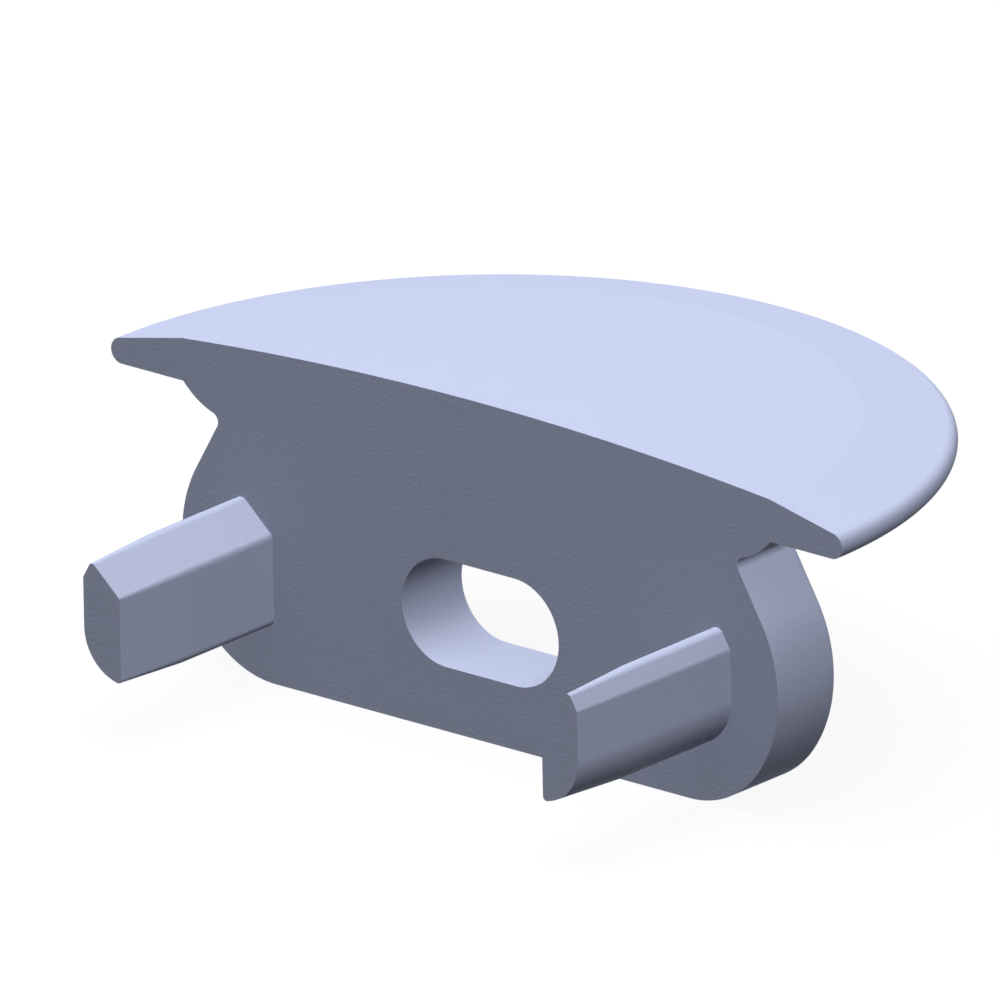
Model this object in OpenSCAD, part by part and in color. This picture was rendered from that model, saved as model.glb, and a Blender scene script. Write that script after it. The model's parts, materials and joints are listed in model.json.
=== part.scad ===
// Moulded end cap for a winged extrusion.
// A half-round cover with a shallow dome carries an upright plate that closes the end of the
// extrusion, and two pegs on the plate's front push into the extrusion's channels. A slot
// through the plate lets a flat cable out.
// +X runs along the front face, +Y to the back and +Z up. The origin is on the front face, on
// the cap's centre line, at the level of the cover's flat underside.

/* [Cover] */
// Width of the half-round cover along the front face
cover_w = 31.5; // [30:0.1:33]
// Height of the dome's top over the flat underside
crown_h = 2.08; // [1.8:0.02:2.6]
// Radius of the shallow dome
dome_r = 135; // [110:1:200]
// Width of the sloping rim round the dome
rim_w = 3.1; // [2.6:0.1:3.6]
// Thickness of the rim's round lip
lip_t = 0.9; // [0.6:0.02:1.1]

/* [Plate] */
// Thickness of the plate
plate_t = 3; // [2:0.1:4]
// Depth of the plate under the cover
plate_h = 9.74; // [8.8:0.02:10.8]
// Width of the plate across its widest place
plate_w = 25.66; // [25.2:0.02:26.2]
// Depth of the widest place under the cover
belly_z = 5.36; // [5.2:0.02:5.5]
// Radius of the plate's sides
side_r = 4.86; // [4.4:0.02:5.3]
// Angle below level at which the bottom corner's arc takes over from the side's
corner_a = 36; // [30:1:42]
// Lean of the flanks from upright
flank_a = 30; // [28:1:33]
// Rounding of the plate's back edge
edge_r = 0.3; // [0.1:0.02:0.5]

/* [Neck] */
// Radius of the bulge under the rim
bulge_r = 2.87; // [2.6:0.01:3.2]
// Slope of that radius where the bulge meets the cover
bulge_a = 41; // [39:1:43]
// Radius of the hollow between the bulge and the flank
hollow_r = 0.3; // [0.2:0.02:0.5]

/* [Cable slot] */
// Width of the slot
slot_w = 6.75; // [5:0.05:9]
// Height of the slot
slot_h = 3.75; // [3:0.05:4.5]
// Depth of the slot's middle under the cover
slot_z = 5.62; // [5:0.02:6.2]

/* [Pegs] */
// Length of the pegs
peg_l = 7.5; // [6:0.1:10]
// Length of their tapered tips
tip_l = 3; // [2:0.1:4]
// Draft of the tips' faces
draft_a = 3; // [1:0.5:4]
// Width of a peg
peg_w = 1.87; // [1.7:0.01:2.2]
// Inset of a peg's outer side from the plate's widest place
peg_inset = 2.03; // [1.8:0.01:2.4]
// Inset of a peg's outer chamfer from the plate's flank
chamfer_inset = 1.81; // [1.7:0.01:2]
// Depth under the cover of the foot of a peg's inner chamfer
chamfer_z = 4.58; // [4.4:0.02:4.8]
// Rise of the inner chamfer
chamfer_a = 42; // [38:1:46]
// Depth under the cover at which a peg's round bottom starts
round_z = 5.92; // [5.7:0.02:6.1]

/* [Hidden] */
cap_colour = "#cad1ee";
// Segments in a full turn of the cover, of the dome's arc and of the slot's ends
cover_fn = 360;
dome_fn = 1440;
slot_fn = 96;
// Degrees to a segment of the plate's and pegs' arcs, of the round lip, and of the smallest arcs
arc_step = 4;
lip_step = 6;
small_step = 12;
// Rings that round the plate's back edge
edge_rings = 4;
// Thickness of the slice that a peg's tip narrows to
slice = 0.01;
// Depth to which a peg runs into the plate
peg_sunk = 1;
// Reach of a cut past the faces that it goes through
cut = 1;

function polar(c, r, a) = c + r * [cos(a), sin(a)];

// Points of an arc from angle a to angle b. With from = 1 it leaves out its first point, which
// the arc before it ends on
function arc(c, r, a, b, step = arc_step, from = 0) = let (n = ceil(abs(b - a) / step))
    [for (i = [from:n]) polar(c, r, a + (b - a) * i / n)];

// Point that lies e along the unit direction m and f along the unit direction n
function meet(m, e, n, f) = [e * n.y - f * m.y, f * m.x - e * n.x] / (m.x * n.y - m.y * n.x);

function mirrored(points) = [for (i = [len(points) - 1:-1:0]) [-points[i].x, points[i].y]];

// Cover: the dome ends where the rim starts, and the rim runs straight on to the round lip
cover_r = cover_w / 2;
rim_x = cover_r - rim_w;
rim_z = crown_h - dome_r + sqrt(dome_r * dome_r - rim_x * rim_x);
lip_r = lip_t / 2;
lip_c = [cover_r - lip_r, lip_r];
// Slope of the rim, which leaves the dome's edge as a tangent to the lip
rim_a = atan2(rim_z - lip_c.y, lip_c.x - rim_x)
    - asin(lip_r / norm([lip_c.x - rim_x, rim_z - lip_c.y]));

// Plate, right half: the side's arc, and the corner's arc that runs on from it into the bottom
side_c = [plate_w / 2 - side_r, -belly_z];
corner_r = (plate_h - belly_z - side_r * sin(corner_a)) / (1 - sin(corner_a));
corner_c = side_c + (side_r - corner_r) * [cos(corner_a), -sin(corner_a)];
// Directions out of the flank and up along it
flank_out = [cos(flank_a), sin(flank_a)];
flank_up = [-sin(flank_a), cos(flank_a)];
// The bulge's arc starts under the dome's edge
bulge_c = [rim_x, 0] - bulge_r * [cos(bulge_a), -sin(bulge_a)];
// The hollow's arc touches the flank and the bulge from outside
hollow_low = side_c + (side_r + hollow_r) * flank_out;
hollow_gap = (bulge_c - hollow_low) * flank_out;
hollow_run = (bulge_c - hollow_low) * flank_up
    - sqrt(pow(bulge_r + hollow_r, 2) - hollow_gap * hollow_gap);
hollow_c = hollow_low + hollow_run * flank_up;
hollow_a = atan2(bulge_c.y - hollow_c.y, bulge_c.x - hollow_c.x);

// Right-hand peg at its root: its sides, and the middle of its round bottom
peg_out = plate_w / 2 - peg_inset;
peg_in = peg_out - peg_w;
round_c = [peg_in, -round_z];
chamfer_out = [-sin(chamfer_a), cos(chamfer_a)];
// How much narrower the tip ends, on every face
draft = tip_l * tan(draft_a);
// The end's round bottom starts at this angle, and its other corners are where its faces meet
round_a = -acos(draft / (peg_w - draft));
to_flank = side_c * flank_out + side_r - chamfer_inset - draft;
to_chamfer = [peg_in, -chamfer_z] * chamfer_out - draft;
side_top = meet([1, 0], peg_out - draft, flank_out, to_flank);
peak = meet(flank_out, to_flank, chamfer_out, to_chamfer);
inner_top = meet(chamfer_out, to_chamfer, [-1, 0], -peg_in - draft);

// Right half of the plate's outline, from the bottom up into the cover, moved in by d
function half_outline(d) = concat(
    arc(corner_c, corner_r - d, -90, -corner_a),
    arc(side_c, side_r - d, -corner_a, flank_a, from = 1),
    arc(hollow_c, hollow_r + d, 180 + flank_a, hollow_a, small_step),
    arc(bulge_c, bulge_r - d, hollow_a - 180, -bulge_a, from = 1),
    [[rim_x - d - lip_r, lip_r]]
);

// The whole outline, from its top left round the bottom to its top right
function outline(d) = let (half = half_outline(d)) concat(mirrored(half), half);

// Drawing on the front face: X right, Y up, and Z out of the face towards the extrusion
module on_face() {
    rotate([90, 0, 0]) children();
}

// Section of the cover from its axis outwards. The rim's slope runs on up to the axis, and the
// dome cuts it off
module cover_section() {
    intersection() {
        translate([0, crown_h - dome_r]) circle(r = dome_r, $fn = dome_fn);
        polygon(concat(
            [[0, 0], [lip_c.x, 0]],
            arc(lip_c, lip_r, -90, 90 - rim_a, lip_step),
            [[0, rim_z + rim_x * tan(rim_a)]]
        ));
    }
}

module cover() {
    rotate_extrude(angle = 180, $fn = cover_fn) cover_section();
}

// Rounding of the back edge, lofted along the outline between the plate's full width and its
// flat back. Its section is the round edge and the square corner inside it
module back_edge() {
    turns = [for (k = [0:edge_rings]) 90 * k / edge_rings];
    depths = concat([for (t = turns) plate_t - edge_r * (1 - sin(t))], [plate_t - edge_r]);
    insets = concat([for (t = turns) edge_r * (1 - cos(t))], [edge_r]);
    rows = len(depths);
    count = len(outline(0));
    points = [for (k = [0:rows - 1]) for (p = outline(insets[k])) [p.x, depths[k], p.y]];
    sides = [
        for (k = [0:rows - 1]) for (i = [0:count - 2])
            let (low = k * count + i, high = (k + 1) % rows * count + i) [low, low + 1, high + 1, high]
    ];
    left = [for (k = [0:rows - 1]) k * count];
    right = [for (k = [rows:-1:1]) k * count - 1];
    polyhedron(points, concat([left], sides, [right]));
}

// Slab of the plate, t thick from the front face and moved in by d all round
module slab(t, d) {
    on_face() translate([0, 0, -t]) linear_extrude(t) polygon(outline(d));
}

module plate() {
    slab(plate_t - edge_r, 0);
    slab(plate_t, edge_r);
    back_edge();
}

module slot() {
    straight = slot_w - slot_h;
    on_face() translate([0, -slot_z, -plate_t - cut]) linear_extrude(plate_t + 2 * cut) {
        square([straight, slot_h], center = true);
        for (side = [-1, 1]) translate([side * straight / 2, 0]) circle(d = slot_h, $fn = slot_fn);
    }
}

// Section of the right-hand peg at its end, where its corners are sharp
module peg_end() {
    polygon(concat(arc(round_c, peg_w - draft, round_a, 0), [side_top, peak, inner_top]));
}

// The same at the root, where the draft has grown and rounds the corners
module peg_root() {
    polygon(concat(
        arc(polar(round_c, peg_w - draft, round_a), draft, -180, round_a, small_step),
        arc(round_c, peg_w, round_a, 0, from = 1),
        arc(side_top, draft, 0, flank_a, small_step),
        arc(peak, draft, flank_a, 90 + chamfer_a, small_step),
        arc(inner_top, draft, 90 + chamfer_a, 180, small_step)
    ));
}

module peg() {
    straight = peg_l - tip_l;
    hull() {
        translate([0, 0, -peg_sunk]) linear_extrude(peg_sunk + straight) peg_root();
        translate([0, 0, peg_l - slice]) linear_extrude(slice) peg_end();
    }
}

module end_cap() {
    color(cap_colour) {
        difference() {
            union() {
                cover();
                plate();
            }
            slot();
        }
        on_face() for (side = [0, 1]) mirror([side, 0, 0]) peg();
    }
}

end_cap();
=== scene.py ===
import json
import logging
import math
from dataclasses import dataclass, field
from enum import Enum

import bmesh
import bpy
from mathutils import Matrix, Vector


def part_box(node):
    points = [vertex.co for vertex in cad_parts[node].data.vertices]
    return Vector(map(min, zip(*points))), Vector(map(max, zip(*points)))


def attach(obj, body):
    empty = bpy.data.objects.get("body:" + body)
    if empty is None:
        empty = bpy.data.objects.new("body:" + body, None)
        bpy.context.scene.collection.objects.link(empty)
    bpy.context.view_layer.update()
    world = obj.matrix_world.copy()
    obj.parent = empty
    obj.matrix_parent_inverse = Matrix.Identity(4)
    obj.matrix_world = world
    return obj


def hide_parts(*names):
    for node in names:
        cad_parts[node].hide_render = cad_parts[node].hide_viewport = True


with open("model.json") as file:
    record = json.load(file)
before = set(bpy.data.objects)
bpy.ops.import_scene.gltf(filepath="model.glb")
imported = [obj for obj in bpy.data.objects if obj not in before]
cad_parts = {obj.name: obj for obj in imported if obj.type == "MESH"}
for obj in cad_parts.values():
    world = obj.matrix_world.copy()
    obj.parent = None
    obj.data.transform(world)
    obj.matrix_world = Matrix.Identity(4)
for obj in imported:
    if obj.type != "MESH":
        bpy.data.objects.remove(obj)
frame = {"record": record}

# A moulded end cap for a winged extrusion. Meshes are drawn in millimetres, in the part's own
# frame: X along the front face, Y to the back and Z up, with the origin on the front face at the
# level of the cover's flat underside. They become metres once, when the moulding is finished.
MM = 0.001
NODE = "end_cap"
BODY = "root"
PIECE = "cap_moulding"

# Points closer than this, in millimetres, are one point
WELD = 0.0005
# Least part of a unit normal that lies along an axis where a face is square to that axis
SQUARE = 0.9999
# Degrees to a step of the dome's long arc, of the other large arcs, and of the arcs whose radius is
# under half a millimetre
DOME_STEP = 0.5
FINE_STEP = 2.0
TINY_STEP = 4.0

Y_AXIS = Vector((0.0, 1.0, 0.0))
Z_AXIS = Vector((0.0, 0.0, 1.0))

log = logging.getLogger("end_cap")


class Side(Enum):
    """The two sides of the cap, by the sign of X."""

    LEFT = -1
    RIGHT = 1


def linear(code: str) -> tuple[float, float, float, float]:
    """Turns an sRGB hex colour into the linear RGBA that shaders take.

    Args:
        code: A colour such as "#ccd5f4".

    Returns:
        Red, green, blue and an alpha of 1.
    """
    channels = (int(code[place:place + 2], 16) / 255 for place in (1, 3, 5))
    values = [c / 12.92 if c <= 0.04045 else ((c + 0.055) / 1.055) ** 2.4 for c in channels]
    return (*values, 1.0)


def grey(level: float) -> tuple[float, float, float, float]:
    """Gives a linear grey.

    Args:
        level: Its brightness, where 1 is white.

    Returns:
        Red, green and blue of that level and an alpha of 1.
    """
    return (level, level, level, 1.0)


def polar(radius: float, degrees: float) -> Vector:
    """Finds a point of a drawing by its distance and direction.

    Args:
        radius: Its distance from the drawing's origin.
        degrees: Its angle up from X.

    Returns:
        The point, as X and Z.
    """
    angle = math.radians(degrees)
    return Vector((radius * math.cos(angle), radius * math.sin(angle)))


def bearing(azimuth: float, elevation: float) -> Vector:
    """Finds a direction in the room.

    Args:
        azimuth: Degrees from X towards Y.
        elevation: Degrees over the horizon.

    Returns:
        The unit direction, as X, Y and Z.
    """
    around, up = math.radians(azimuth), math.radians(elevation)
    return Vector((math.cos(around) * math.cos(up), math.sin(around) * math.cos(up), math.sin(up)))


def meeting(normal_a: Vector, reach_a: float, normal_b: Vector, reach_b: float) -> Vector:
    """Finds where two lines of a drawing cross.

    Args:
        normal_a: Unit direction square to the first line.
        reach_a: How far along normal_a that line lies.
        normal_b: Unit direction square to the second line.
        reach_b: How far along normal_b that line lies.

    Returns:
        The crossing, as X and Z.
    """
    across = normal_a.x * normal_b.y - normal_a.y * normal_b.x
    x = (reach_a * normal_b.y - reach_b * normal_a.y) / across
    z = (reach_b * normal_a.x - reach_a * normal_b.x) / across
    return Vector((x, z))


class Pen:
    """Draws a chain of edges on the front plane, y = 0, by pushing one vertex along."""

    def __init__(self, mesh: bmesh.types.BMesh, start: Vector) -> None:
        """Puts the pen down.

        Args:
            mesh: The mesh to draw in.
            start: Where the chain starts, as X and Z.
        """
        self.mesh = mesh
        made = bmesh.ops.create_vert(mesh, co=(start.x, 0.0, start.y))
        self.tip: bmesh.types.BMVert = made["vert"][0]

    def line(self, end: Vector) -> None:
        """Draws a straight edge.

        Args:
            end: Where it ends, as X and Z.
        """
        made = bmesh.ops.extrude_vert_indiv(self.mesh, verts=[self.tip])
        self.tip = made["verts"][0]
        self.tip.co = (end.x, 0.0, end.y)

    def turn(self, centre: Vector, degrees: float, step: float = FINE_STEP) -> None:
        """Draws an arc from the pen's tip.

        Args:
            centre: The arc's centre, as X and Z.
            degrees: How far it turns, from X towards Z.
            step: Most degrees to an edge.
        """
        made = bmesh.ops.spin(
            self.mesh, geom=[self.tip], cent=(centre.x, 0.0, centre.y), axis=-Y_AXIS,
            angle=math.radians(degrees), steps=math.ceil(abs(degrees) / step),
            use_merge=False, use_duplicate=False,
        )
        self.tip = next(item for item in made["geom_last"] if isinstance(item, bmesh.types.BMVert))


def weld(mesh: bmesh.types.BMesh) -> None:
    """Merges points that coincide.

    Args:
        mesh: The mesh to weld.
    """
    bmesh.ops.remove_doubles(mesh, verts=mesh.verts[:], dist=WELD)


def in_plane(item: bmesh.types.BMEdge | bmesh.types.BMFace, normal: Vector, height: float) -> bool:
    """Tells whether an edge or a face lies in a plane.

    Args:
        item: The edge or face.
        normal: The plane's unit normal.
        height: How far along the normal the plane lies, in millimetres.

    Returns:
        Whether all its points lie there.
    """
    return all(abs(vert.co.dot(normal) - height) < WELD for vert in item.verts)


def open_edges(mesh: bmesh.types.BMesh, normal: Vector, height: float) -> list[bmesh.types.BMEdge]:
    """Lists the edges in a plane that don't yet have a face on both sides.

    Args:
        mesh: The mesh to look through.
        normal: The plane's unit normal.
        height: How far along the normal the plane lies, in millimetres.

    Returns:
        The edges that lie in the plane and have fewer than two faces.
    """
    return [
        edge for edge in mesh.edges
        if len(edge.link_faces) < 2 and in_plane(edge, normal, height)
    ]


def close_plane(mesh: bmesh.types.BMesh, normal: Vector, height: float) -> None:
    """Closes a flat side of the moulding, leaving its holes open.

    Args:
        mesh: The mesh to close.
        normal: The outward unit normal of the flat side.
        height: How far along the normal it lies, in millimetres.
    """
    edges = open_edges(mesh, normal, height)
    bmesh.ops.triangle_fill(
        mesh, use_beauty=True, use_dissolve=False, edges=edges, normal=normal,
    )


def take_in(mesh: bmesh.types.BMesh, part: bmesh.types.BMesh) -> None:
    """Moves a finished part into the moulding and frees it.

    Args:
        mesh: The moulding's mesh.
        part: The part's own mesh.
    """
    carrier = bpy.data.meshes.new("carrier")
    part.to_mesh(carrier)
    part.free()
    mesh.from_mesh(carrier)
    bpy.data.meshes.remove(carrier)


@dataclass
class Cover:
    """The half-round cover: a very shallow dome, a sloping rim and a full-round lip.

    Attributes:
        radius: Outer radius of the lip.
        crown: Height of the dome's top over the flat underside.
        dome_radius: Radius of the dome.
        rim_width: Width of the sloping rim, seen from above.
        lip_thickness: Thickness of the lip.
        turn_steps: Steps in the half turn of the section.
    """

    radius: float
    crown: float
    dome_radius: float = 135.0
    rim_width: float = 3.1
    lip_thickness: float = 0.9
    turn_steps: int = 180

    @property
    def rim_foot(self) -> float:
        """Distance from the axis at which the dome ends and the rim starts."""
        return self.radius - self.rim_width

    @property
    def dome_centre(self) -> Vector:
        """Centre of the dome's arc."""
        return Vector((0.0, self.crown - self.dome_radius))

    @property
    def rim_top(self) -> Vector:
        """The point of the section where the dome ends and the rim starts."""
        rise = math.sqrt(self.dome_radius ** 2 - self.rim_foot ** 2)
        return Vector((self.rim_foot, self.dome_centre.y + rise))

    def section(self, mesh: bmesh.types.BMesh) -> None:
        """Draws the section's outer line, from the lip's foot round to the top of the dome.

        Args:
            mesh: The mesh to draw in.
        """
        lip = self.lip_thickness / 2
        centre = Vector((self.radius - lip, lip))
        fall = self.rim_top - centre
        slope = math.degrees(math.atan2(fall.y, -fall.x) - math.asin(lip / fall.length))
        pen = Pen(mesh, Vector((centre.x, 0.0)))
        pen.turn(centre, 180.0 - slope, TINY_STEP)
        pen.line(self.rim_top)
        half_dome = math.degrees(math.asin(self.rim_foot / self.dome_radius))
        pen.turn(self.dome_centre, half_dome, DOME_STEP)

    def build(self) -> bmesh.types.BMesh:
        """Turns the section through half a circle.

        Returns:
            The cover's mesh, open at its front and underside.
        """
        mesh = bmesh.new()
        self.section(mesh)
        bmesh.ops.spin(
            mesh, geom=mesh.verts[:] + mesh.edges[:], cent=(0.0, 0.0, 0.0), axis=Z_AXIS,
            angle=math.pi, steps=self.turn_steps, use_merge=False, use_duplicate=False,
        )
        weld(mesh)
        return mesh


@dataclass
class Plate:
    """The upright plate: flat bottom, round sides, straight flanks and a bulge under the dome.

    Attributes:
        depth: How far it reaches down from the cover's underside.
        neck: Distance from the centre line at which the bulge meets the cover.
        thickness: From the front face to the back.
        width: Across its widest place.
        belly_depth: Depth of that widest place under the cover.
        side_radius: Radius of the sides.
        corner_angle: Degrees below level at which the corner's arc takes over from the side's.
        flank_lean: Degrees that the flanks lean in from upright.
        edge_rounding: Radius of the back edge.
        bulge_radius: Radius of the bulge under the rim.
        bulge_slope: Degrees below level at which the bulge's arc meets the cover.
        hollow_radius: Radius of the hollow between the bulge and the flank.
        rounding_steps: Faces across the rounding of the back edge.
        sunk_turn: Degrees that the bulge's arc runs on into the cover before it is cut off.
    """

    depth: float
    neck: float
    thickness: float = 3.0
    width: float = 25.66
    belly_depth: float = 5.36
    side_radius: float = 4.86
    corner_angle: float = 36.0
    flank_lean: float = 30.0
    edge_rounding: float = 0.3
    bulge_radius: float = 2.87
    bulge_slope: float = 41.0
    hollow_radius: float = 0.3
    rounding_steps: int = 10
    sunk_turn: float = 12.0

    @property
    def side_centre(self) -> Vector:
        """Centre of the right side's arc."""
        return Vector((self.width / 2 - self.side_radius, -self.belly_depth))

    @property
    def flank_out(self) -> Vector:
        """Unit direction out of the right flank."""
        return polar(1.0, self.flank_lean)

    @property
    def corner_radius(self) -> float:
        """Radius of the bottom corner's arc, which runs on from the side into the flat bottom."""
        rise = math.sin(math.radians(self.corner_angle))
        return (self.depth - self.belly_depth - self.side_radius * rise) / (1 - rise)

    def draw_right_half(self, mesh: bmesh.types.BMesh) -> None:
        """Draws the right half of the outline, from the middle of the bottom to inside the cover.

        Args:
            mesh: The mesh to draw in.
        """
        corner_shift = polar(self.side_radius - self.corner_radius, -self.corner_angle)
        corner_centre = self.side_centre + corner_shift
        bulge_centre = Vector((self.neck, 0.0)) - polar(self.bulge_radius, -self.bulge_slope)
        flank_up = polar(1.0, self.flank_lean + 90.0)
        low = self.side_centre + (self.side_radius + self.hollow_radius) * self.flank_out
        gap = (bulge_centre - low).dot(self.flank_out)
        reach = math.sqrt((self.bulge_radius + self.hollow_radius) ** 2 - gap ** 2)
        hollow_centre = low + ((bulge_centre - low).dot(flank_up) - reach) * flank_up
        to_bulge = bulge_centre - hollow_centre
        facing = math.degrees(math.atan2(to_bulge.y, to_bulge.x))

        pen = Pen(mesh, Vector((0.0, -self.depth)))
        pen.line(Vector((corner_centre.x, -self.depth)))
        pen.turn(corner_centre, 90.0 - self.corner_angle)
        pen.turn(self.side_centre, self.corner_angle + self.flank_lean)
        pen.line(hollow_centre - self.hollow_radius * self.flank_out)
        pen.turn(hollow_centre, facing - 180.0 - self.flank_lean, TINY_STEP)
        pen.turn(bulge_centre, 180.0 - facing - self.bulge_slope + self.sunk_turn)
        pen.line(Vector((0.0, pen.tip.co.z)))

    def build(self) -> bmesh.types.BMesh:
        """Makes the walls and the rounded back edge.

        Returns:
            The plate's mesh, open at the front, the back and the cover.
        """
        mesh = bmesh.new()
        self.draw_right_half(mesh)
        bmesh.ops.mirror(
            mesh, geom=mesh.verts[:] + mesh.edges[:], matrix=Matrix.Identity(4),
            merge_dist=WELD, axis="X",
        )
        bmesh.ops.contextual_create(mesh, geom=mesh.edges[:])
        made = bmesh.ops.extrude_face_region(mesh, geom=mesh.faces[:])
        back = [item for item in made["geom"] if isinstance(item, bmesh.types.BMVert)]
        bmesh.ops.translate(mesh, verts=back, vec=Y_AXIS * self.thickness)
        rim = [edge for edge in mesh.edges if in_plane(edge, Y_AXIS, self.thickness)]
        bmesh.ops.bevel(
            mesh, geom=rim, offset=self.edge_rounding, offset_type="OFFSET",
            segments=self.rounding_steps, profile=0.5, affect="EDGES", material=-1,
        )
        everything = mesh.verts[:] + mesh.edges[:] + mesh.faces[:]
        bmesh.ops.bisect_plane(
            mesh, geom=everything, plane_co=(0.0, 0.0, 0.0), plane_no=Z_AXIS, clear_outer=True,
        )
        mesh.normal_update()
        flats = [face for face in mesh.faces if abs(face.normal.y) > SQUARE]
        bmesh.ops.delete(mesh, geom=flats, context="FACES")
        return mesh


@dataclass
class CableSlot:
    """The slot through the plate, with half-round ends.

    Attributes:
        level: Height of its middle, below the cover's underside.
        through: Thickness of the plate that it goes through.
        width: Its width.
        height: Its height.
    """

    level: float
    through: float
    width: float = 6.75
    height: float = 3.75

    def build(self) -> bmesh.types.BMesh:
        """Makes the slot's wall.

        Returns:
            The wall's mesh, open at the front and the back.
        """
        mesh = bmesh.new()
        radius = self.height / 2
        right = Vector((self.width / 2 - radius, self.level))
        left = Vector((-right.x, self.level))
        start = right - Vector((0.0, radius))
        pen = Pen(mesh, start)
        pen.turn(right, 180.0)
        pen.line(left + Vector((0.0, radius)))
        pen.turn(left, 180.0)
        pen.line(start)
        weld(mesh)
        made = bmesh.ops.extrude_edge_only(mesh, edges=mesh.edges[:])
        back = [item for item in made["geom"] if isinstance(item, bmesh.types.BMVert)]
        bmesh.ops.translate(mesh, verts=back, vec=Y_AXIS * self.through)
        return mesh


@dataclass
class Peg:
    """A push-in peg: a straight root and a drafted tip, with corners that narrow to its end.

    Attributes:
        plate: The plate that carries it.
        length: How far it stands out of the front face.
        tip_length: Length of the drafted tip.
        draft_angle: Degrees of draft on every face of the tip.
        width: Its width.
        corner_radius: Radius of its corners at the root.
        inset: Distance of its outer side from the plate's widest place.
        chamfer_inset: Distance of its outer chamfer from the plate's flank.
        chamfer_depth: Depth under the cover of the foot of its inner chamfer.
        chamfer_rise: Degrees that the inner chamfer rises.
        round_depth: Depth under the cover at which its round bottom starts.
    """

    plate: Plate
    length: float
    tip_length: float = 3.0
    draft_angle: float = 3.0
    width: float = 1.87
    corner_radius: float = 0.3
    inset: float = 2.03
    chamfer_inset: float = 1.81
    chamfer_depth: float = 4.58
    chamfer_rise: float = 42.0
    round_depth: float = 5.92

    @property
    def straight(self) -> float:
        """Length of the straight root."""
        return self.length - self.tip_length

    @property
    def draft(self) -> float:
        """How much narrower the tip ends on every face."""
        return self.tip_length * math.tan(math.radians(self.draft_angle))

    def draw_root(self, mesh: bmesh.types.BMesh) -> None:
        """Draws the right-hand peg's outline at its root, with arcs about its corners' centres.

        Args:
            mesh: The mesh to draw in.
        """
        outer = self.plate.width / 2 - self.inset
        inner = outer - self.width
        corner = self.corner_radius
        flank = self.plate.flank_out
        chamfer = polar(1.0, 90.0 + self.chamfer_rise)
        flank_face = self.plate.side_centre.dot(flank) + self.plate.side_radius
        flank_reach = flank_face - self.chamfer_inset - corner
        chamfer_reach = Vector((inner, -self.chamfer_depth)).dot(chamfer) - corner
        side_top = meeting(Vector((1.0, 0.0)), outer - corner, flank, flank_reach)
        peak = meeting(flank, flank_reach, chamfer, chamfer_reach)
        inner_top = meeting(chamfer, chamfer_reach, Vector((-1.0, 0.0)), -inner - corner)
        round_centre = Vector((inner, -self.round_depth))
        foot_angle = math.degrees(math.acos(corner / (self.width - corner)))
        foot = round_centre + polar(self.width - corner, -foot_angle)

        start = foot - Vector((corner, 0.0))
        pen = Pen(mesh, start)
        pen.turn(foot, 180.0 - foot_angle, TINY_STEP)
        pen.turn(round_centre, foot_angle)
        pen.line(side_top + Vector((corner, 0.0)))
        pen.turn(side_top, self.plate.flank_lean, TINY_STEP)
        pen.line(peak + corner * flank)
        pen.turn(peak, 90.0 + self.chamfer_rise - self.plate.flank_lean, TINY_STEP)
        pen.line(inner_top + corner * chamfer)
        pen.turn(inner_top, 90.0 - self.chamfer_rise, TINY_STEP)
        pen.line(start)

    def build(self, side: Side) -> bmesh.types.BMesh:
        """Makes one peg, open where it stands on the front face.

        Args:
            side: The side of the cap that it is for.

        Returns:
            The peg's mesh.
        """
        mesh = bmesh.new()
        self.draw_root(mesh)
        weld(mesh)
        root = bmesh.ops.contextual_create(mesh, geom=mesh.edges[:])["faces"]
        made = bmesh.ops.extrude_face_region(mesh, geom=root)["geom"]
        end = [item for item in made if isinstance(item, bmesh.types.BMFace)]
        bmesh.ops.translate(mesh, verts=end[0].verts[:], vec=-Y_AXIS * self.straight)
        bmesh.ops.inset_region(
            mesh, faces=end, thickness=self.draft, use_even_offset=True, use_boundary=True,
        )
        bmesh.ops.translate(mesh, verts=end[0].verts[:], vec=-Y_AXIS * self.tip_length)
        weld(mesh)
        bmesh.ops.scale(mesh, vec=(side.value, 1.0, 1.0), verts=mesh.verts[:])
        roots = [face for face in mesh.faces if in_plane(face, Y_AXIS, 0.0)]
        bmesh.ops.delete(mesh, geom=roots, context="FACES")
        return mesh


def add_node(
    tree: bpy.types.NodeTree, kind: str, inputs: dict[str | int, object] | None = None,
    **settings: object,
) -> bpy.types.Node:
    """Adds a node with its settings and links.

    Args:
        tree: The tree to add it to.
        kind: The node's type.
        inputs: For each input's name, its value or the output socket that feeds it. An input
            name that stands for several sockets means the first that is in use, and an input's
            number can stand in for its name.
        **settings: Properties of the node itself.

    Returns:
        The new node.
    """
    node = tree.nodes.new(kind)
    for name, value in settings.items():
        setattr(node, name, value)
    for key, value in (inputs or {}).items():
        if isinstance(key, int):
            socket = node.inputs[key]
        else:
            socket = next(item for item in node.inputs if item.name == key and item.enabled)
        if isinstance(value, bpy.types.NodeSocket):
            tree.links.new(value, socket)
        else:
            socket.default_value = value
    return node


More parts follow.
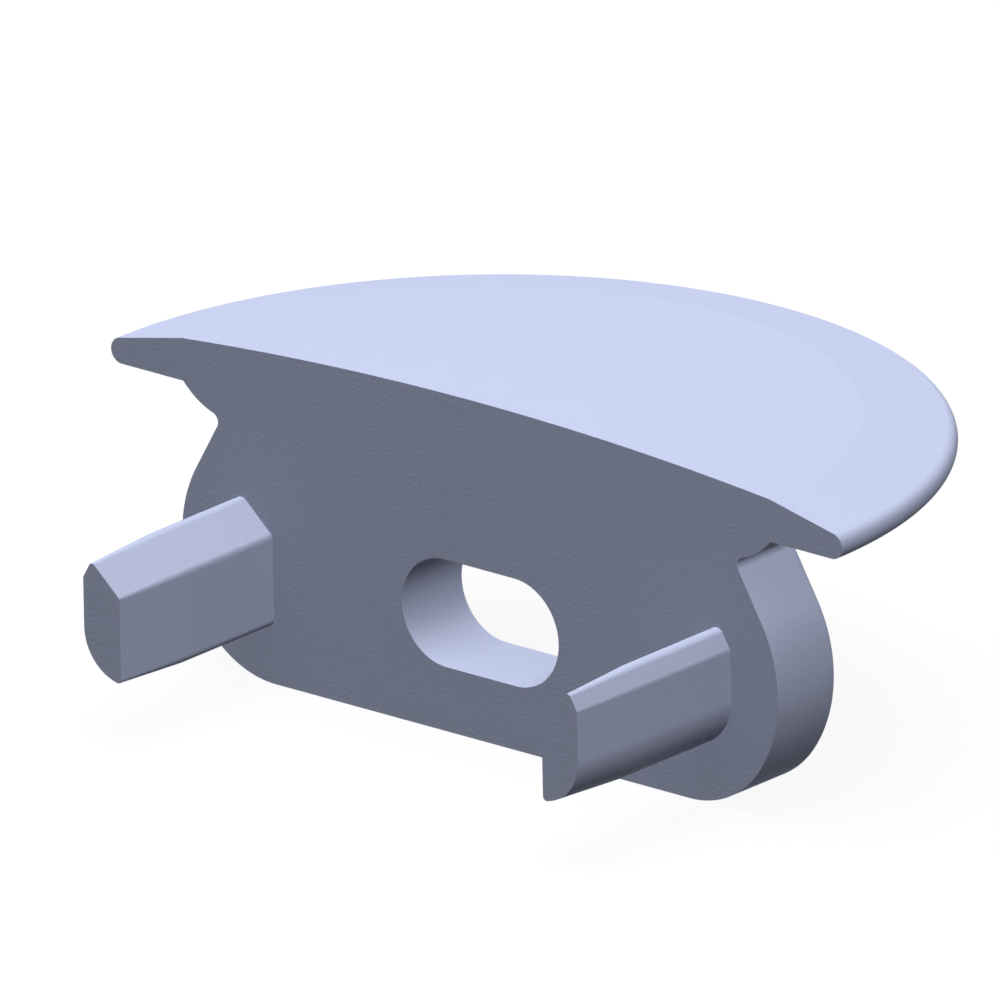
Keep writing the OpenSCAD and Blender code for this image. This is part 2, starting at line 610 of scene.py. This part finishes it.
@dataclass(frozen=True)
class MattAbs:
    """ABS, injection-moulded in a spark-eroded mould.

    The mould leaves a fine, even grain that makes the gloss weak and broad, and the melt's flow
    leaves the tint and the gloss a little uneven over some millimetres.

    Attributes:
        colour: The plastic's own colour.
        flow_colour: The same where the flow left it slightly deeper.
        roughness: Least and most roughness of the surface.
        specular: Strength of the gloss, where 0.5 is a smooth surface's.
        ior: Refractive index of ABS.
        grain: Size of the grain in millimetres. The real one is about half as coarse, which is
            too fine to show here.
        grain_height: Height of the grain in millimetres.
        grain_detail: How strong each finer layer of the grain is beside the one before.
        flow: Size of the flow's uneven patches in millimetres.
        layers: Finer layers of the grain and of the patches.
    """

    colour: str = "#ccd5f4"
    flow_colour: str = "#cad3f2"
    roughness: tuple[float, float] = (0.68, 0.76)
    specular: float = 0.12
    ior: float = 1.54
    grain: float = 0.12
    grain_height: float = 0.01
    grain_detail: float = 0.6
    flow: float = 5.0
    layers: float = 2.0

    def material(self) -> bpy.types.Material:
        """Makes the material, in real millimetres on the object's own coordinates.

        Returns:
            The material.
        """
        material = bpy.data.materials.new("moulded_matt_abs")
        material.use_nodes = True
        tree = material.node_tree
        tree.nodes.clear()
        place = add_node(tree, "ShaderNodeTexCoord").outputs["Object"]
        patches = add_node(
            tree, "ShaderNodeTexNoise",
            {"Vector": place, "Scale": 1 / (self.flow * MM), "Detail": self.layers},
        ).outputs["Fac"]
        grain = add_node(
            tree, "ShaderNodeTexNoise",
            {
                "Vector": place, "Scale": 1 / (self.grain * MM),
                "Detail": self.layers, "Roughness": self.grain_detail,
            },
        )
        tint = add_node(
            tree, "ShaderNodeMix",
            {"Factor": patches, "A": linear(self.colour), "B": linear(self.flow_colour)},
            data_type="RGBA",
        )
        least, most = self.roughness
        gloss = add_node(
            tree, "ShaderNodeMapRange", {"Value": patches, "To Min": least, "To Max": most},
        )
        bump = add_node(
            tree, "ShaderNodeBump",
            {"Height": grain.outputs["Fac"], "Strength": 1.0, "Distance": self.grain_height * MM},
        )
        shader = add_node(
            tree, "ShaderNodeBsdfPrincipled",
            {
                "Base Color": tint.outputs["Result"], "Roughness": gloss.outputs["Result"],
                "Normal": bump.outputs["Normal"], "IOR": self.ior,
                "Specular IOR Level": self.specular,
            },
        )
        add_node(tree, "ShaderNodeOutputMaterial", {"Surface": shader.outputs["BSDF"]})
        return material


@dataclass
class EndCap:
    """The whole moulding: cover, plate, cable slot and two pegs as one closed skin.

    Attributes:
        cover: The cover.
        plate: The plate.
        slot: The cable slot.
        peg: The peg, for both sides.
        finish: The plastic.
        sharp_angle: Degrees between two faces past which they meet in an edge.
    """

    cover: Cover
    plate: Plate
    slot: CableSlot
    peg: Peg
    finish: MattAbs = field(default_factory=MattAbs)
    sharp_angle: float = 30.0

    def join_ends(self, mesh: bmesh.types.BMesh, depth: float) -> None:
        """Draws the underside's straight edges at one depth behind the front face.

        Args:
            mesh: The moulding's mesh, with its flat sides still open.
            depth: How far behind the front face the edges run.
        """
        ends = [
            vert for vert in mesh.verts
            if abs(vert.co.y - depth) < WELD and abs(vert.co.z) < WELD
            and any(len(edge.link_faces) < 2 for edge in vert.link_edges)
        ]
        ends.sort(key=lambda vert: vert.co.x)
        for left, right in zip(ends[::2], ends[1::2]):
            bmesh.ops.contextual_create(mesh, geom=[left, right])

    def mark_creases(self, mesh: bmesh.types.BMesh) -> None:
        """Smooths the faces and keeps the edges, also the slight ones of the dome and the pegs.

        Args:
            mesh: The moulding's mesh, in millimetres.
        """
        ring = self.cover.rim_top
        for face in mesh.faces:
            face.smooth = True
        for edge in mesh.edges:
            at_radius = all(abs(v.co.xy.length - ring.x) < WELD for v in edge.verts)
            on_ring = at_radius and in_plane(edge, Z_AXIS, ring.y)
            on_fold = in_plane(edge, Y_AXIS, -self.peg.straight)
            is_edge = edge.calc_face_angle(0.0) > math.radians(self.sharp_angle)
            edge.smooth = not (on_ring or on_fold or is_edge)

    def build(self) -> bpy.types.Object:
        """Makes the moulding and its finish.

        Returns:
            The moulding, in metres.
        """
        mesh = bmesh.new()
        take_in(mesh, self.cover.build())
        take_in(mesh, self.plate.build())
        take_in(mesh, self.slot.build())
        for side in Side:
            take_in(mesh, self.peg.build(side))
        weld(mesh)
        self.join_ends(mesh, 0.0)
        self.join_ends(mesh, self.plate.thickness)
        close_plane(mesh, -Y_AXIS, 0.0)
        close_plane(mesh, Y_AXIS, self.plate.thickness)
        close_plane(mesh, -Z_AXIS, 0.0)
        bmesh.ops.recalc_face_normals(mesh, faces=mesh.faces[:])
        self.mark_creases(mesh)
        open_count = sum(not edge.is_manifold for edge in mesh.edges)
        log.info("%s: %d faces, %d open edges", PIECE, len(mesh.faces), open_count)
        bmesh.ops.scale(mesh, vec=(MM, MM, MM), verts=mesh.verts[:])
        data = bpy.data.meshes.new(PIECE)
        mesh.to_mesh(data)
        mesh.free()
        data.materials.append(self.finish.material())
        moulding = bpy.data.objects.new(PIECE, data)
        bpy.context.scene.collection.objects.link(moulding)
        evened = moulding.modifiers.new("flat faces stay flat", "WEIGHTED_NORMAL")
        evened.keep_sharp = True
        return moulding


@dataclass(frozen=True)
class Lamp:
    """A large, soft, distant lamp.

    Attributes:
        name: What it is for.
        azimuth: Degrees from X towards Y that it stands at.
        elevation: Degrees that it stands over the horizon.
        level: How bright it makes a white surface that faces it, where 1 is white.
        spread: Degrees that it spans.
        is_main: Whether it is a main lamp, which casts shadows, shows in the gloss and bounces. A
            fill lamp only lights what faces it.
    """

    name: str
    azimuth: float
    elevation: float
    level: float
    spread: float = 30.0
    is_main: bool = False

    def build(self) -> bpy.types.Object:
        """Makes the lamp.

        Returns:
            The lamp.
        """
        light = bpy.data.lights.new(self.name, "SUN")
        light.energy = self.level * math.pi
        light.angle = math.radians(self.spread)
        light.use_shadow = self.is_main
        if not self.is_main:
            light.cycles.max_bounces = 0
        lamp = bpy.data.objects.new(self.name, light)
        lamp.visible_glossy = self.is_main
        bpy.context.scene.collection.objects.link(lamp)
        towards = bearing(self.azimuth, self.elevation)
        lamp.rotation_euler = towards.to_track_quat("Z", "Y").to_euler()
        return lamp


@dataclass
class Studio:
    """A plain white room: the floor that the cap stands on, the backdrop and the lamps.

    Attributes:
        floor_level: Height of the floor in millimetres.
        floor_size: Width of the floor in metres.
        glow: How much of the floor's white the camera sees whatever the light.
        floor_shade: How much of that white comes from the light, so that a shadow shows.
        floor_bounce: Grey of the floor as it lights the cap from below.
        ambient: Brightness of the room's own light.
        lamps: The lamps.
    """

    floor_level: float
    floor_size: float = 2.0
    glow: float = 0.4
    floor_shade: float = 0.61
    floor_bounce: float = 0.03
    ambient: float = 0.03
    lamps: tuple[Lamp, ...] = (
        Lamp("overhead", 0.0, 90.0, 0.1, 50.0, is_main=True),
        Lamp("left", 180.0, 65.0, 0.56),
        Lamp("front_right", -34.0, 50.0, 0.48),
        Lamp("low_back", 90.0, -10.0, 0.1),
        Lamp("below", 0.0, -90.0, 0.03),
    )

    def seen(self, tree: bpy.types.NodeTree) -> bpy.types.NodeSocket:
        """Adds the switch for what the camera, a reflection or a clear body shows.

        Args:
            tree: The tree to add it to.

        Returns:
            The socket that is 1 for such a ray and 0 for any other.
        """
        rays = add_node(tree, "ShaderNodeLightPath").outputs
        either = add_node(
            tree, "ShaderNodeMath", {0: rays["Is Camera Ray"], 1: rays["Is Glossy Ray"]},
            operation="MAXIMUM",
        )
        every = add_node(
            tree, "ShaderNodeMath", {0: either.outputs["Value"], 1: rays["Is Transmission Ray"]},
            operation="MAXIMUM",
        )
        return every.outputs["Value"]

    def floor_material(self) -> bpy.types.Material:
        """Makes the floor white as it is seen, with the shadow kept, and grey as it lights.

        Returns:
            The material.
        """
        material = bpy.data.materials.new("studio_floor")
        material.use_nodes = True
        tree = material.node_tree
        tree.nodes.clear()
        camera = add_node(tree, "ShaderNodeLightPath").outputs["Is Camera Ray"]
        strength = add_node(
            tree, "ShaderNodeMapRange", {"Value": camera, "To Min": 1.0, "To Max": self.glow},
        ).outputs["Result"]
        glow = add_node(tree, "ShaderNodeEmission", {"Color": grey(1.0), "Strength": strength})
        lit = add_node(tree, "ShaderNodeBsdfDiffuse", {"Color": grey(self.floor_shade)})
        white = add_node(
            tree, "ShaderNodeAddShader", {0: glow.outputs["Emission"], 1: lit.outputs["BSDF"]},
        )
        dim = add_node(tree, "ShaderNodeBsdfDiffuse", {"Color": grey(self.floor_bounce)})
        choice = add_node(
            tree, "ShaderNodeMixShader",
            {"Fac": self.seen(tree), 1: dim.outputs["BSDF"], 2: white.outputs["Shader"]},
        )
        add_node(tree, "ShaderNodeOutputMaterial", {"Surface": choice.outputs["Shader"]})
        return material

    def build_floor(self) -> bpy.types.Object:
        """Makes the floor.

        Returns:
            The floor.
        """
        mesh = bmesh.new()
        bmesh.ops.create_grid(mesh, x_segments=1, y_segments=1, size=self.floor_size / 2)
        bmesh.ops.translate(mesh, verts=mesh.verts[:], vec=Z_AXIS * self.floor_level * MM)
        data = bpy.data.meshes.new("floor")
        mesh.to_mesh(data)
        mesh.free()
        data.materials.append(self.floor_material())
        floor = bpy.data.objects.new("floor", data)
        bpy.context.scene.collection.objects.link(floor)
        return floor

    def build_backdrop(self) -> None:
        """Makes the world white as it is seen, and dim as it lights."""
        world = bpy.data.worlds.new("backdrop")
        world.use_nodes = True
        tree = world.node_tree
        tree.nodes.clear()
        strength = add_node(
            tree, "ShaderNodeMapRange",
            {"Value": self.seen(tree), "To Min": self.ambient, "To Max": 1.0},
        ).outputs["Result"]
        light = add_node(tree, "ShaderNodeBackground", {"Color": grey(1.0), "Strength": strength})
        add_node(tree, "ShaderNodeOutputWorld", {"Surface": light.outputs["Background"]})
        bpy.context.scene.world = world

    def build(self) -> bpy.types.Object:
        """Makes the room.

        Returns:
            Its floor.
        """
        for lamp in self.lamps:
            lamp.build()
            log.info("lamp %s", lamp.name)
        self.build_backdrop()
        return self.build_floor()


@dataclass
class View:
    """The photograph's view, which has no perspective.

    Attributes:
        azimuth: Degrees that the line of sight turns from square to the front face.
        elevation: Degrees that the camera looks down.
        roll: Degrees that the picture is turned.
        width: Width of the picture in millimetres.
        right: How far right of the origin the picture's middle lies, in millimetres.
        below: How far below the origin it lies, in millimetres.
        distance: Distance of the camera in millimetres.
        nearest: How near the camera still sees things, in millimetres.
        farthest: How far it still sees them, in millimetres.
    """

    azimuth: float = 41.053
    elevation: float = 20.011
    roll: float = -1.232
    width: float = 32.697
    right: float = 0.7585
    below: float = 1.2632
    distance: float = 300.0
    nearest: float = 1.0
    farthest: float = 10000.0

    def build(self) -> bpy.types.Object:
        """Makes the camera and has the scene use it.

        Returns:
            The camera.
        """
        tilt = math.radians(self.roll)
        level = bearing(self.azimuth, 0.0)
        back = bearing(self.azimuth - 90.0, self.elevation)
        upright = back.cross(level)
        across = math.cos(tilt) * level + math.sin(tilt) * upright
        above = math.cos(tilt) * upright - math.sin(tilt) * level
        place = (across * self.right - above * self.below + back * self.distance) * MM
        lens = bpy.data.cameras.new("photo_view")
        lens.type = "ORTHO"
        lens.ortho_scale = self.width * MM
        lens.clip_start = self.nearest * MM
        lens.clip_end = self.farthest * MM
        camera = bpy.data.objects.new("photo_view", lens)
        turned = Matrix((across, above, back)).transposed().to_4x4()
        camera.matrix_world = Matrix.Translation(place) @ turned
        bpy.context.scene.collection.objects.link(camera)
        bpy.context.scene.camera = camera
        bpy.context.scene.view_settings.view_transform = "Standard"
        return camera


def main() -> None:
    """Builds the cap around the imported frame, then the studio and the view."""
    logging.basicConfig(level=logging.INFO, format="%(name)s: %(message)s")
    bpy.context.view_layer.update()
    low, high = (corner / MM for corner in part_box(NODE))
    mounts = {mount["name"]: Vector(mount["pos_m"]) / MM for mount in frame["record"]["mounts"]}

    cover = Cover(radius=high.x, crown=high.z)
    plate = Plate(depth=-low.z, neck=cover.rim_foot)
    slot = CableSlot(level=mounts["cable_slot"].z, through=plate.thickness)
    cap = EndCap(cover, plate, slot, Peg(plate, length=-low.y))
    moulding = cap.build()
    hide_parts(NODE)
    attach(moulding, BODY)
    log.info("piece %s rides on %s", moulding.name, BODY)

    floor = Studio(floor_level=low.z).build()
    View().build()


if __name__ == "__main__":
    main()
